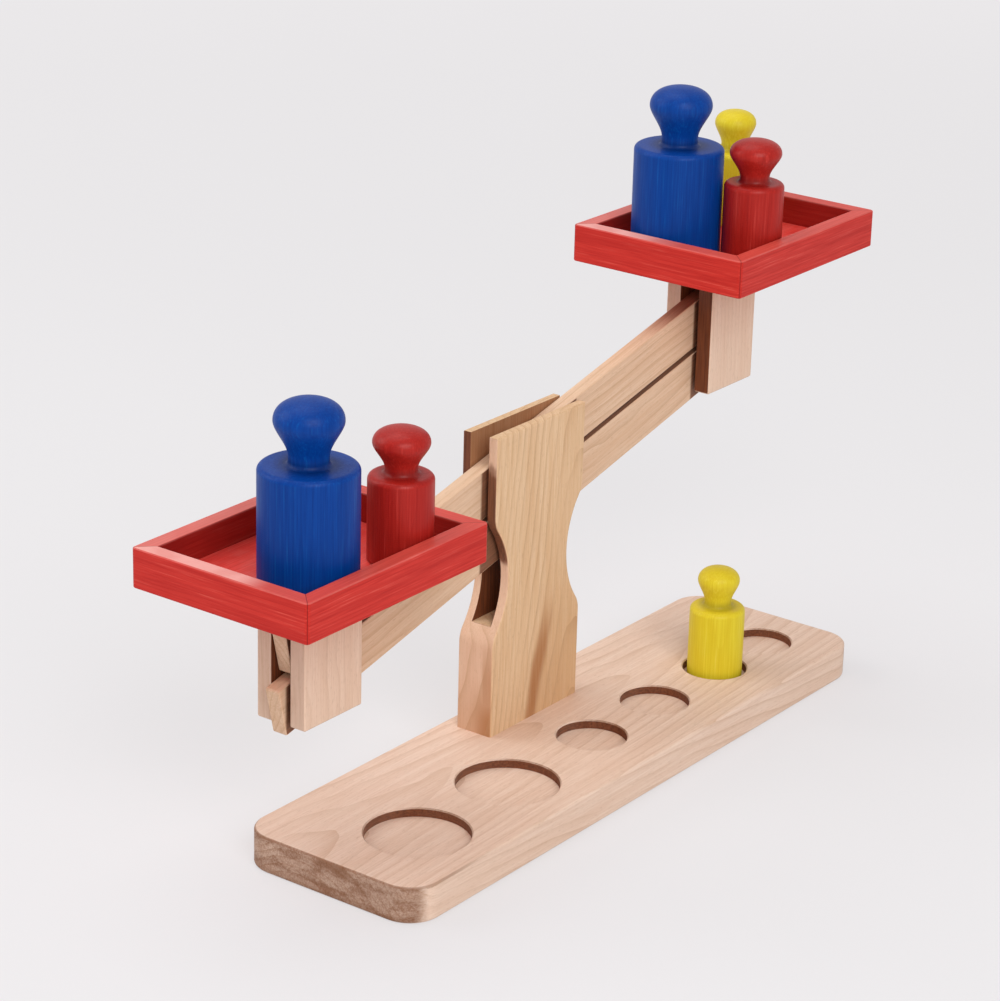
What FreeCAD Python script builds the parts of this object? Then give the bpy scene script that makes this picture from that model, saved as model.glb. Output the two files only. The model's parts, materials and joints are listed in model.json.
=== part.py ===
import FreeCAD, Part
import math
import os

# Wooden balance scale toy. A base board carries a forked post. Two parallel beams pivot in
# the fork and keep a hanger upright at each end, and each hanger carries a framed red pan.
# Six turned weights stand on the pans or in the round recesses of the board.
# Lengths are in millimetres and +Z is up. The origin is the centre of the board's underside,
# +X runs along the board to the right, and +Y runs to its back. At rest the left pan is low.

Vector = FreeCAD.Vector
UP = Vector(0, 0, 1)
TO_BACK = Vector(0, 1, 0)
nearly_zero = 1e-6

# Base board
base_length = 370.0
base_width = 102.0
base_thickness = 18.0
base_corner_radius = 16.0
base_edge_round = 1.5

# Turned weights, a large, a medium and a small pair
blue_radius = 22.5
blue_height = 85.5
blue_knob_radius = 15.6
blue_neck_radius = 9.0
red_radius = 15.0
red_height = 62.0
red_knob_radius = 13.0
red_neck_radius = 7.4
yellow_radius = 14.0
yellow_height = 59.0
yellow_knob_radius = 10.6
yellow_neck_radius = 6.8
foot_round = 1.2
shoulder_round = 2.6
neck_fillet = 2.0
shoulder_share = 0.65
neck_share = 0.695
knob_share = 0.885
flare_pull_share = 0.35
knob_pull_share = 0.26
dome_pull_share = 0.62

# Round recesses in one row, with a pitch after each size of weight
recess_clearance = 2.3
recess_depth = 4.5
recess_edge_round = 0.6
recess_row_y = -14.0
first_recess_inset = 48.0
blue_pitch = 68.0
red_pitch = 54.0
yellow_pitch = 43.0

# Forked post
post_width = 71.0
post_thickness = 20.5
post_height = 153.0
post_back_inset = 8.75
post_waist_width = 48.0
post_waist_height = 79.5
post_waist_radius = 44.0
post_waist_corner_radius = 13.0
post_edge_round = 1.2
post_slot_width = 11.0
post_slot_depth = 97.5

# Wood screws from below that hold the post
screw_spacing = 40.0
screw_length = 44.0
screw_shank_radius = 2.0
screw_core_radius = 1.5
screw_head_radius = 4.2
screw_head_height = 2.6
screw_head_recess = 0.6
screw_thread_pitch = 2.2
screw_thread_length = 24.0
screw_tip_length = 3.0
screw_hole_clearance = 0.05
screw_cross_length = 4.4
screw_cross_width = 0.9
screw_cross_depth = 1.3

# Pivots
upper_pivot_drop = 21.0
pivot_spacing = 27.5
arm_length = 163.0
rest_tilt = 13.5
pin_radius = 3.0
pivot_clearance = 0.08
open_pivot_clearance = 0.3
post_pin_cover = 1.75
hanger_pin_cover = 2.5
spacer_radius = 6.5
spacer_bore_clearance = 0.1
spacer_side_gap = 0.1

# Beams
beam_height = 24.0
beam_thickness = 8.0
upper_beam_overhang = 19.0
lower_beam_overhang = 23.0
beam_back_shift = 1.0
beam_corner_radius = 1.2
beam_edge_round = 0.8

# Hangers
hanger_width = 40.0
hanger_thickness = 28.0
hanger_height = 68.0
hanger_drop = 25.5
hanger_roof = 6.5
hanger_slot_width = 11.0
hanger_edge_round = 1.0

# Pans
pan_length = 125.0
pan_width = 100.0
pan_height = 19.0
pan_strip_width = 8.5
pan_floor_thickness = 5.0
pan_rebate = 3.0
pan_outward_shift = 3.5
pan_forward_shift = 4.0
pan_edge_round = 0.8
pan_corner_round = 2.0

# Gaps between the weights on the pans and the frame's strips, or each other. On the left pan the
# room along the pan is shared out between its outer end, the middle and its inner end.
left_outer_room_share = 0.343
left_inner_room_share = 0.257
left_blue_front_gap = 4.7
left_red_front_gap = 1.1
right_blue_inner_gap = 0.6
right_blue_back_gap = 9.4
right_red_front_gap = 0.6
right_red_blue_gap = 1.0
right_yellow_outer_gap = 2.0
right_yellow_back_gap = 6.5

# How far every cutting tool runs past the wood
overrun = 2.0

# Worked out from the sizes above
base_top = base_thickness
post_y = base_width / 2 - post_back_inset - post_thickness / 2
post_top = base_top + post_height
post_back = post_y + post_thickness / 2
beam_y = post_y + beam_back_shift
upper_pivot_z = post_top - upper_pivot_drop
lower_pivot_z = upper_pivot_z - pivot_spacing
pivot_middle_z = (upper_pivot_z + lower_pivot_z) / 2
tilt = math.radians(rest_tilt)
arm_run = arm_length * math.cos(tilt)
arm_rise = arm_length * math.sin(tilt)
hanger_back = post_y + hanger_thickness / 2
pan_y = post_y - pan_forward_shift
pan_inner_half_length = pan_length / 2 - pan_strip_width
pan_inner_half_width = pan_width / 2 - pan_strip_width
SIDES = {"left": -1, "right": 1}


def block(x_low, x_high, y_low, y_high, z_low, z_high):
    """A box between two corners."""
    corner = Vector(x_low, y_low, z_low)
    return Part.makeBox(x_high - x_low, y_high - y_low, z_high - z_low, corner)


def outline(points):
    """Straight edges through the points, closed."""
    return [Part.LineSegment(a, b).toShape() for a, b in zip(points, points[1:] + points[:1])]


def near(a, b):
    return abs(a - b) < nearly_zero


def edges_where(shape, test):
    """The edges whose middle point passes the test."""
    return [edge for edge in shape.Edges if test(edge.CenterOfMass)]


def rod_along_y(radius, x, y_low, y_high, z):
    return Part.makeCylinder(radius, y_high - y_low, Vector(x, y_low, z), TO_BACK)


def hanger_place(side):
    """The x of a hanger's pivots and the height midway between them."""
    return SIDES[side] * arm_run, pivot_middle_z + SIDES[side] * arm_rise


def pan_place(side):
    """The centre of a pan in plan and the height of its underside."""
    x, z = hanger_place(side)
    return x + SIDES[side] * pan_outward_shift, pan_y, z - hanger_drop + hanger_height


# Weights


class Weight:
    """The sizes of one turned weight."""

    def __init__(self, radius, height, knob_radius, neck_radius):
        self.radius = radius
        self.height = height
        self.knob_radius = knob_radius
        self.neck_radius = neck_radius
        self.recess_radius = radius + recess_clearance

    def profile(self):
        """Half the outline in the XZ plane, from the axis at the foot to the axis at the top."""
        radius, neck, knob, top = self.radius, self.neck_radius, self.knob_radius, self.height
        shoulder = shoulder_share * top
        neck_top = neck_share * top
        widest = knob_share * top
        flare = (widest - neck_top) * flare_pull_share
        rise = top - widest
        diagonal = math.sqrt(0.5)

        def at(r, z):
            return Vector(r, 0, z)

        def line(r1, z1, r2, z2):
            return Part.LineSegment(at(r1, z1), at(r2, z2)).toShape()

        def corner(r, z, size, r_sign, z_sign, start, end):
            """A round of the given size whose centre is at r, z."""
            middle = at(r + r_sign * size * diagonal, z + z_sign * size * diagonal)
            return Part.Arc(start, middle, end).toShape()

        def curve(*poles):
            bezier = Part.BezierCurve()
            bezier.setPoles([at(r, z) for r, z in poles])
            return bezier.toShape()

        foot_in = radius - foot_round
        shoulder_in = radius - shoulder_round
        root = neck + neck_fillet
        return [
            line(0, 0, foot_in, 0),
            corner(foot_in, foot_round, foot_round, 1, -1, at(foot_in, 0), at(radius, foot_round)),
            line(radius, foot_round, radius, shoulder - shoulder_round),
            corner(
                shoulder_in, shoulder - shoulder_round, shoulder_round, 1, 1,
                at(radius, shoulder - shoulder_round), at(shoulder_in, shoulder),
            ),
            line(shoulder_in, shoulder, root, shoulder),
            corner(
                root, shoulder + neck_fillet, neck_fillet, -1, -1,
                at(root, shoulder), at(neck, shoulder + neck_fillet),
            ),
            line(neck, shoulder + neck_fillet, neck, neck_top),
            curve(
                (neck, neck_top),
                (neck, neck_top + flare),
                (knob, widest - (widest - neck_top) * knob_pull_share),
                (knob, widest),
            ),
            curve(
                (knob, widest),
                (knob, widest + rise * dome_pull_share),
                (knob * dome_pull_share, top),
                (0, top),
            ),
            line(0, top, 0, 0),
        ]

    def solid(self, x, y, z):
        """The weight standing at a place."""
        face = Part.Face(Part.Wire(self.profile()))
        turned = face.revolve(Vector(0, 0, 0), UP, 360)
        turned.translate(Vector(x, y, z))
        return turned


WEIGHTS = {
    "blue": Weight(blue_radius, blue_height, blue_knob_radius, blue_neck_radius),
    "red": Weight(red_radius, red_height, red_knob_radius, red_neck_radius),
    "yellow": Weight(yellow_radius, yellow_height, yellow_knob_radius, yellow_neck_radius),
}
PITCHES = {"blue": blue_pitch, "red": red_pitch, "yellow": yellow_pitch}
RECESS_ROW = ["blue", "blue", "red", "red", "yellow", "yellow"]


def recess_places():
    """The colour and x of each recess, from the left."""
    x = first_recess_inset - base_length / 2
    places = []
    for colour in RECESS_ROW:
        places.append((colour, x))
        x += PITCHES[colour]
    return places


def from_strips(weight, towards_x, gap_x, towards_y, gap_y):
    """A place on a pan, from its centre, with gaps to the two strips that it stands towards."""
    x = pan_inner_half_length - weight.radius - gap_x
    y = pan_inner_half_width - weight.radius - gap_y
    return towards_x * x, towards_y * y


def left_pan_weights():
    """The blue weight stands towards the outer end and the red one towards the inner end."""
    blue, red = WEIGHTS["blue"], WEIGHTS["red"]
    blue_y = from_strips(blue, -1, 0, -1, left_blue_front_gap)[1]
    red_y = from_strips(red, 1, 0, -1, left_red_front_gap)[1]
    touching = math.sqrt((blue.radius + red.radius) ** 2 - (blue_y - red_y) ** 2)
    room = pan_inner_half_length * 2 - blue.radius - touching - red.radius
    blue_x = from_strips(blue, -1, room * left_outer_room_share, -1, 0)[0]
    red_x = from_strips(red, 1, room * left_inner_room_share, -1, 0)[0]
    return {"blue": (blue_x, blue_y), "red": (red_x, red_y)}


def right_pan_weights():
    """The red weight stands beside the blue one, towards the outer end."""
    blue, red, yellow = WEIGHTS["blue"], WEIGHTS["red"], WEIGHTS["yellow"]
    blue_x, blue_y = from_strips(blue, -1, right_blue_inner_gap, 1, right_blue_back_gap)
    red_y = from_strips(red, 1, 0, -1, right_red_front_gap)[1]
    apart = blue.radius + red.radius + right_red_blue_gap
    red_x = blue_x + math.sqrt(max(apart**2 - (blue_y - red_y) ** 2, 0))
    return {
        "blue": (blue_x, blue_y),
        "red": (red_x, red_y),
        "yellow": from_strips(yellow, 1, right_yellow_outer_gap, 1, right_yellow_back_gap),
    }


PAN_WEIGHTS = {"left": left_pan_weights(), "right": right_pan_weights()}


# Base board


def screw_places():
    return [Vector(sign * screw_spacing / 2, post_y, 0) for sign in (-1, 1)]


def screw_hole(place):
    """The bore and countersink that a screw needs, from the underside up."""
    head_top = screw_head_recess + screw_head_height
    wide = screw_head_radius + screw_hole_clearance
    narrow = screw_shank_radius + screw_hole_clearance
    mouth = Part.makeCylinder(wide, screw_head_recess + overrun, place - UP * overrun)
    cone = Part.makeCone(wide, narrow, screw_head_height, place + UP * screw_head_recess)
    bore_length = screw_length - screw_head_height + screw_hole_clearance
    bore = Part.makeCylinder(narrow, bore_length, place + UP * head_top)
    return mouth.fuse([cone, bore])


def base_board():
    half_length, half_width = base_length / 2, base_width / 2
    board = block(-half_length, half_length, -half_width, half_width, 0, base_thickness)
    uprights = edges_where(board, lambda middle: near(middle.z, base_thickness / 2))
    board = board.makeFillet(base_corner_radius, uprights)
    rims = edges_where(board, lambda middle: near(middle.z, 0) or near(middle.z, base_thickness))
    board = board.makeFillet(base_edge_round, rims)
    for colour, x in recess_places():
        radius = WEIGHTS[colour].recess_radius
        floor = Vector(x, recess_row_y, base_top - recess_depth)
        pocket = Part.makeCylinder(radius, recess_depth + overrun, floor)
        mouth_low = Vector(x, recess_row_y, base_top - recess_edge_round)
        mouth_height = recess_edge_round + overrun
        mouth = Part.makeCone(radius, radius + mouth_height, mouth_height, mouth_low)
        board = board.cut(pocket.fuse(mouth))
    for place in screw_places():
        board = board.cut(screw_hole(place))
    return board


# Post


def post_outline():
    """The waisted front outline, as a closed wire in the XZ plane."""
    half, waist = post_width / 2, post_waist_width / 2
    big, small = post_waist_radius, post_waist_corner_radius
    waist_z = base_top + post_waist_height
    big_x = waist + big
    small_x = half - small
    reach = math.sqrt((big + small) ** 2 - (big_x - small_x) ** 2)
    lean = math.atan2(reach, big_x - small_x)

    def point(side, x, z):
        return Vector(side * x, 0, z)

    def small_arc(side, up):
        """Three points of the round between a straight edge and the waist, above or below it."""
        points = []
        for angle in (0, lean / 2, lean):
            across = small_x + small * math.cos(angle)
            points.append(point(side, across, waist_z + up * (reach - small * math.sin(angle))))
        return points

    edges = []
    for side in (1, -1):
        low_straight, low_middle, low_inner = small_arc(side, -1)
        high_straight, high_middle, high_inner = small_arc(side, 1)
        edges += [
            Part.LineSegment(point(side, half, base_top), low_straight).toShape(),
            Part.Arc(low_straight, low_middle, low_inner).toShape(),
            Part.Arc(low_inner, point(side, waist, waist_z), high_inner).toShape(),
            Part.Arc(high_inner, high_middle, high_straight).toShape(),
            Part.LineSegment(high_straight, point(side, half, post_top)).toShape(),
        ]
    edges.append(Part.LineSegment(point(-1, half, post_top), point(1, half, post_top)).toShape())
    edges.append(Part.LineSegment(point(-1, half, base_top), point(1, half, base_top)).toShape())
    return Part.Wire(Part.__sortEdges__(edges))


def pin_hole_in_post(z):
    """A blind hole from the post's back."""
    front = post_y - post_thickness / 2 + post_pin_cover
    return rod_along_y(pin_radius, 0, front, post_back + overrun, z)


def post():
    face = Part.Face(post_outline())
    face.translate(Vector(0, post_y - post_thickness / 2, 0))
    body = face.extrude(Vector(0, post_thickness, 0))
    front, back = post_y - post_thickness / 2, post_y + post_thickness / 2

    def on_rim(middle):
        return (near(middle.y, front) or near(middle.y, back)) and not near(middle.z, base_top)

    body = body.makeFillet(post_edge_round, edges_where(body, on_rim))
    half_slot = post_slot_width / 2
    half = post_width / 2 + overrun
    slot_floor = post_top - post_slot_depth
    slot_top = post_top + overrun
    body = body.cut(block(-half, half, post_y - half_slot, post_y + half_slot, slot_floor, slot_top))
    for z in (upper_pivot_z, lower_pivot_z):
        body = body.cut(pin_hole_in_post(z))
    for place in screw_places():
        body = body.cut(screw_hole(place))
    return body


# Screws


def screw(place):
    """A countersunk wood screw, head down, with its thread as rings."""
    head_low = screw_head_recess
    head_top = head_low + screw_head_height
    tip_top = head_low + screw_length
    thread_top = tip_top - screw_tip_length
    thread_low = thread_top - screw_thread_length
    points = [(0, head_low), (screw_head_radius, head_low), (screw_shank_radius, head_top)]
    points.append((screw_shank_radius, thread_low))
    turns = int(screw_thread_length / screw_thread_pitch)
    step = screw_thread_length / turns
    for turn in range(turns):
        low = thread_low + turn * step
        points.append((screw_core_radius, low + step / 2))
        points.append((screw_shank_radius, low + step))
    points.append((0, tip_top))
    wire = Part.Wire(outline([Vector(r, 0, z) for r, z in points]))
    body = Part.Face(wire).revolve(Vector(0, 0, 0), UP, 360)
    half_long, half_wide = screw_cross_length / 2, screw_cross_width / 2
    for x, y in ((half_long, half_wide), (half_wide, half_long)):
        body = body.cut(block(-x, x, -y, y, head_low - overrun, head_low + screw_cross_depth))
    body.translate(place)
    return body


def post_screws():
    return Part.Compound([screw(place) for place in screw_places()])


# Pins and spacers


def pin(x, z, front, back):
    return rod_along_y(pin_radius, x, front, back, z)


def post_pin(z):
    return pin(0, z, post_y - post_thickness / 2 + post_pin_cover, post_back)


def hanger_pin(side, z_offset):
    x, z = hanger_place(side)
    return pin(x, z + z_offset, post_y - hanger_thickness / 2 + hanger_pin_cover, hanger_back)


def spacers(x, z_middle, slot_width):
    """A ring on each of two pins, in front of the beams."""
    front = post_y - slot_width / 2 + spacer_side_gap
    back = beam_y - beam_thickness / 2 - spacer_side_gap
    rings = []
    for z in (z_middle - pivot_spacing / 2, z_middle + pivot_spacing / 2):
        ring = rod_along_y(spacer_radius, x, front, back, z)
        bore = rod_along_y(pin_radius + spacer_bore_clearance, x, front - overrun, back + overrun, z)
        rings.append(ring.cut(bore))
    return Part.Compound(rings)


# Beams


def beam(pivot_z, overhang, end_clearance):
    """A flat beam with three bores, tilted with its left end down."""
    half_length = arm_length + overhang
    half_height, half_thickness = beam_height / 2, beam_thickness / 2
    bar = block(-half_length, half_length, -half_thickness, half_thickness, -half_height, half_height)
    corners = edges_where(bar, lambda middle: near(middle.y, 0))
    bar = bar.makeFillet(beam_corner_radius, corners)
    rims = edges_where(bar, lambda middle: near(abs(middle.y), half_thickness))
    bar = bar.makeFillet(beam_edge_round, rims)
    reach = half_thickness + overrun
    for x, clearance in ((0, pivot_clearance), (-arm_length, end_clearance), (arm_length, end_clearance)):
        bar = bar.cut(rod_along_y(pin_radius + clearance, x, -reach, reach, 0))
    bar.rotate(Vector(0, 0, 0), TO_BACK, -rest_tilt)
    bar.translate(Vector(0, beam_y, pivot_z))
    return bar


# Hangers


def hanger(side):
    """A block with a slot for the beams, open at both ends and below."""
    x, z = hanger_place(side)
    low, high = z - hanger_drop, z - hanger_drop + hanger_height
    half_width = hanger_width / 2
    front = post_y - hanger_thickness / 2
    body = block(x - half_width, x + half_width, front, hanger_back, low, high)
    eased = edges_where(body, lambda middle: not near(middle.z, high))
    body = body.makeFillet(hanger_edge_round, eased)
    half_slot = hanger_slot_width / 2
    slot = block(
        x - half_width - overrun, x + half_width + overrun,
        post_y - half_slot, post_y + half_slot,
        low - overrun, high - hanger_roof,
    )
    body = body.cut(slot)
    for offset in (-pivot_spacing / 2, pivot_spacing / 2):
        hole = rod_along_y(pin_radius, x, front + hanger_pin_cover, hanger_back + overrun, z + offset)
        body = body.cut(hole)
    return body


# Pans


def pan_floor(side):
    """The panel that sits in the rebate of the frame."""
    x, y, z = pan_place(side)
    half_x = pan_inner_half_length + pan_rebate
    half_y = pan_inner_half_width + pan_rebate
    return block(x - half_x, x + half_x, y - half_y, y + half_y, z, z + pan_floor_thickness)


def pan_frame():
    """The whole frame about its own centre, eased at its edges and open in the middle."""
    half_length, half_width = pan_length / 2, pan_width / 2
    inner_length, inner_width = pan_inner_half_length, pan_inner_half_width
    body = block(-half_length, half_length, -half_width, half_width, 0, pan_height)
    uprights = edges_where(body, lambda middle: near(middle.z, pan_height / 2))
    body = body.makeFillet(pan_corner_round, uprights)
    rims = edges_where(body, lambda middle: near(middle.z, 0) or near(middle.z, pan_height))
    body = body.makeFillet(pan_edge_round, rims)
    above = pan_height + overrun
    body = body.cut(block(-inner_length, inner_length, -inner_width, inner_width, -overrun, above))

    def on_inner_rim(middle):
        inside = abs(middle.x) < inner_length + nearly_zero and abs(middle.y) < inner_width + nearly_zero
        return near(middle.z, pan_height) and inside

    body = body.makeFillet(pan_edge_round, edges_where(body, on_inner_rim))
    rebate_x, rebate_y = inner_length + pan_rebate, inner_width + pan_rebate
    return body.cut(block(-rebate_x, rebate_x, -rebate_y, rebate_y, -overrun, pan_floor_thickness))


def pan_strip(side, towards):
    """One strip of the frame, mitred, on the side of the pan that the unit vector points to."""
    half_length, half_width = pan_length / 2, pan_width / 2
    inner_length, inner_width = pan_inner_half_length, pan_inner_half_width
    runs_along_y = towards.x != 0
    outer, inner = (half_length, inner_length) if runs_along_y else (half_width, inner_width)
    outer_end, inner_end = (half_width, inner_width) if runs_along_y else (half_length, inner_length)
    along = TO_BACK if runs_along_y else Vector(1, 0, 0)
    plan = [
        towards * outer - along * outer_end,
        towards * outer + along * outer_end,
        towards * inner + along * inner_end,
        towards * inner - along * inner_end,
    ]
    between_mitres = Part.Face(Part.Wire(outline(plan))).extrude(UP * pan_height)
    body = pan_frame().common(between_mitres)
    body.translate(Vector(*pan_place(side)))
    return body


# The whole toy


def build():
    parts = {
        "base_board": base_board(),
        "post": post(),
        "post_screws": post_screws(),
        "center_upper_pin": post_pin(upper_pivot_z),
        "center_lower_pin": post_pin(lower_pivot_z),
        "center_spacers": spacers(0, pivot_middle_z, post_slot_width),
        "upper_beam": beam(upper_pivot_z, upper_beam_overhang, pivot_clearance),
        "lower_beam": beam(lower_pivot_z, lower_beam_overhang, open_pivot_clearance),
    }
    for side, sign in SIDES.items():
        x, z = hanger_place(side)
        parts[side + "_hanger"] = hanger(side)
        parts[side + "_upper_pin"] = hanger_pin(side, pivot_spacing / 2)
        parts[side + "_lower_pin"] = hanger_pin(side, -pivot_spacing / 2)
        parts[side + "_spacers"] = spacers(x, z, hanger_slot_width)
        parts[side + "_pan_floor"] = pan_floor(side)
        parts[side + "_pan_front_strip"] = pan_strip(side, Vector(0, -1, 0))
        parts[side + "_pan_back_strip"] = pan_strip(side, Vector(0, 1, 0))
        parts[side + "_pan_outer_strip"] = pan_strip(side, Vector(sign, 0, 0))
        parts[side + "_pan_inner_strip"] = pan_strip(side, Vector(-sign, 0, 0))
        pan_x, pan_middle_y, pan_z = pan_place(side)
        for colour, (along, across) in PAN_WEIGHTS[side].items():
            stand = (pan_x + along, pan_middle_y + across, pan_z + pan_floor_thickness)
            parts[side + "_" + colour + "_weight"] = WEIGHTS[colour].solid(*stand)
    yellow_x = [x for colour, x in recess_places() if colour == "yellow"][0]
    recess_floor = base_top - recess_depth
    parts["base_yellow_weight"] = WEIGHTS["yellow"].solid(yellow_x, recess_row_y, recess_floor)
    return parts


os.makedirs("parts", exist_ok=True)
for name, shape in build().items():
    if not shape.isValid():
        raise ValueError(name + " is not a valid solid")
    shape.exportStep("parts/" + name + ".step")
    box = shape.BoundBox
    size = [round(length, 1) for length in (box.XLength, box.YLength, box.ZLength)]
    print(name, "solids", len(shape.Solids), "size", size)
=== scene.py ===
# %% [markdown]
# # A wooden balance scale, dressed for its picture
# The toy is a board with round recesses, a forked post, two parallel beams, two hangers with
# framed red pans, and six turned weights. Its solids are already cut to size, so this lesson is
# about finishes: plain wood with its grain, wood stained red, blue and yellow, and the light that
# shows them. Every finish is built from nodes, so it can be changed by changing a value. Lengths
# are in metres, except where a name ends in mm.

import json
import math

import bpy
from mathutils import Matrix, Vector


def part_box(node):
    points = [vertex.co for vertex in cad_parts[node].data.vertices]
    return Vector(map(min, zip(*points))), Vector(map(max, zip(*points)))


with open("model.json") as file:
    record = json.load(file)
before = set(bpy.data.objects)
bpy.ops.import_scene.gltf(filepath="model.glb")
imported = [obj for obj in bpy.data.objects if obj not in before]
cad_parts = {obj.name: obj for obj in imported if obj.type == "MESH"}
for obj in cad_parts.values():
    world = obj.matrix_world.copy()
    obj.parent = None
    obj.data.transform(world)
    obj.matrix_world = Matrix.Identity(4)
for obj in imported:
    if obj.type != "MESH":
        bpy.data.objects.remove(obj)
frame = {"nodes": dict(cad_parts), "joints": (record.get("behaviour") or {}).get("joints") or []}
bpy.ops.object.select_all(action="DESELECT")
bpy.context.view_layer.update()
nodes = frame["nodes"]

# %% [markdown]
# ## Sums on a surface
# A finish is mostly arithmetic on values that change from point to point, such as the distance
# from a tree's pith. Wrapping a node's output in a small class lets those sums be written like
# any other, and each sum adds a Math node. The alternative, wiring every Math node by hand, hides
# the formula in dozens of lines. The sum used most is a mask, a value from 0 to 1, which says
# where on the surface something shows.

# %% A value that changes over a surface


class Value:
    """An output of a node. Sums on it add Math nodes to its finish."""

    def __init__(self, finish, socket):
        self.finish = finish
        self.socket = socket

    def maths(self, operation, *others):
        inputs = dict(enumerate((self, *others)))
        return self.finish.node("ShaderNodeMath", {"operation": operation}, inputs)

    def __add__(self, other):
        return self.maths("ADD", other)

    def __sub__(self, other):
        return self.maths("SUBTRACT", other)

    def __rsub__(self, other):
        return self.maths("MULTIPLY_ADD", -1.0, other)

    def __mul__(self, other):
        return self.maths("MULTIPLY", other)

    def __truediv__(self, other):
        return self.maths("DIVIDE", other)

    def __pow__(self, power):
        return self.maths("POWER", power)

    def __abs__(self):
        return self.maths("ABSOLUTE")

    __radd__ = __add__
    __rmul__ = __mul__

    def larger(self, other):
        return self.maths("MAXIMUM", other)

    def rise(self, low, high):
        """0 up to low, 1 from high, and smooth between. With high under low, it falls instead."""
        settings = {"interpolation_type": "SMOOTHSTEP"}
        inputs = {"Value": self, "From Min": min(low, high), "From Max": max(low, high)}
        inputs["To Min"], inputs["To Max"] = (0.0, 1.0) if low < high else (1.0, 0.0)
        return self.finish.node("ShaderNodeMapRange", settings, inputs)


print("what a value can do:", [name for name, made in vars(Value).items() if callable(made)])

# %% [markdown]
# ## One way to add a node
# A finish, and the world too, is a tree of nodes. Every node comes from one method, which takes
# its type, its settings and what feeds its sockets, so a finish reads as a list of steps.

# %% A tree that grows node by node


class Tree:
    """The nodes of a material or of the world."""

    def __init__(self, owner):
        owner.use_nodes = True
        self.tree = owner.node_tree

    def feed(self, socket, value):
        """Links a value to a socket, or sets a number or a colour on it."""
        if isinstance(value, Value):
            self.tree.links.new(value.socket, socket)
        elif socket.type == "RGBA":
            socket.default_value = (*value, 1.0)
        else:
            socket.default_value = value

    def node(self, kind, settings, inputs, output=0):
        made = self.tree.nodes.new(kind)
        for name, value in settings.items():
            setattr(made, name, value)
        for place, value in inputs.items():
            self.feed(made.inputs[place], value)
        return Value(self, made.outputs[output])


print("a node is added by", Tree.node.__name__, "and fed by", Tree.feed.__name__)

# %% [markdown]
# ## One finish
# A finish holds a material. Numbers that are the same all over the surface are set on the shader
# itself. What changes is drawn from the point of the toy, in millimetres from the middle of each
# piece, so the pattern stays with the piece when it moves.

# %% A material with the steps that every finish here uses
MM = 0.001
bump_height = 0.4 * MM


class Finish(Tree):
    """One material."""

    def __init__(self, name, **fixed):
        self.material = bpy.data.materials.new(name)
        super().__init__(self.material)
        self.shader = self.tree.nodes["Principled BSDF"]
        for socket, value in fixed.items():
            self.shader.inputs[socket.replace("_", " ")].default_value = value

    def place(self):
        """The point of the toy, in metres."""
        return self.node("ShaderNodeTexCoord", {}, {}, output="Object")

    def facing(self, axis):
        """How squarely the surface faces along an axis, from -1 to 1."""
        normal = self.node("ShaderNodeTexCoord", {}, {}, output="Normal")
        settings = {"operation": "DOT_PRODUCT"}
        return self.node("ShaderNodeVectorMath", settings, {0: normal, 1: axis}, output="Value")

    def local(self, centre, turn=(0, 0, 0)):
        """The point in millimetres from a centre, on axes turned with the piece."""
        inputs = {"Vector": self.place(), "Location": centre, "Rotation": turn}
        inputs["Scale"] = (MM, MM, MM)
        return self.node("ShaderNodeMapping", {"vector_type": "TEXTURE"}, inputs)

    def split(self, vector):
        inputs = {0: vector}
        return [self.node("ShaderNodeSeparateXYZ", {}, inputs, output=axis) for axis in "XYZ"]

    def noise(self, vector, per_mm, detail=2.0, roughness=0.5):
        """Cloudy noise about 0.5, with its own fineness along each axis."""
        settings = {"operation": "MULTIPLY"}
        scaled = self.node("ShaderNodeVectorMath", settings, {0: vector, 1: per_mm})
        inputs = {"Vector": scaled, "Scale": 1.0, "Detail": detail, "Roughness": roughness}
        return self.node("ShaderNodeTexNoise", {"noise_dimensions": "3D"}, inputs)

    def mix(self, amount, first, second):
        """Blends two colours. A Mix node has its colours at inputs 6 and 7 and at output 2."""
        settings = {"data_type": "RGBA", "clamp_factor": True}
        return self.node("ShaderNodeMix", settings, {0: amount, 6: first, 7: second}, output=2)

    def bump(self, height, strength):
        inputs = {"Height": height, "Strength": strength, "Distance": bump_height}
        self.feed(self.shader.inputs["Normal"], self.node("ShaderNodeBump", {}, inputs))

    def paint(self, colour, roughness):
        self.feed(self.shader.inputs["Base Color"], colour)
        self.feed(self.shader.inputs["Roughness"], roughness)

    def put_on(self, name):
        """Gives the material to a node of the toy."""
        nodes[name].data.materials.clear()
        nodes[name].data.materials.append(self.material)
        print(self.material.name, "has", len(self.tree.nodes), "nodes and is on", name)


def middle(name):
    """The middle of a node's box, where its pattern is centred."""
    low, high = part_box(name)
    return (low + high) / 2


print("the post's middle:", [round(value, 4) for value in middle("post")])

# %% [markdown]
# ## Which way the grain runs
# A turned weight, a board and a post were all sawn from a trunk, and the grain runs along it. A
# Mapping node turns the pattern so that its X axis lies along the grain of each piece. The beams
# rest at a slant, so their grain slants with them.

# %% Directions, and turns that lay X along the grain
RIGHT = (1, 0, 0)
LEFT = (-1, 0, 0)
FRONT = (0, -1, 0)
BACK = (0, 1, 0)
UP = (0, 0, 1)
rest_tilt = math.radians(13.5)
quarter_turn = math.radians(90)
ALONG_X = (0, 0, 0)
ALONG_Y = (0, 0, quarter_turn)
ALONG_Z = (0, -quarter_turn, 0)
ALONG_BEAM = (0, -rest_tilt, 0)
GRAIN_AXIS = {
    ALONG_X: RIGHT,
    ALONG_Y: BACK,
    ALONG_Z: UP,
    ALONG_BEAM: (math.cos(rest_tilt), 0, math.sin(rest_tilt)),
}
print("the beams' grain runs along", [round(part, 3) for part in GRAIN_AXIS[ALONG_BEAM]])

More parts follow.
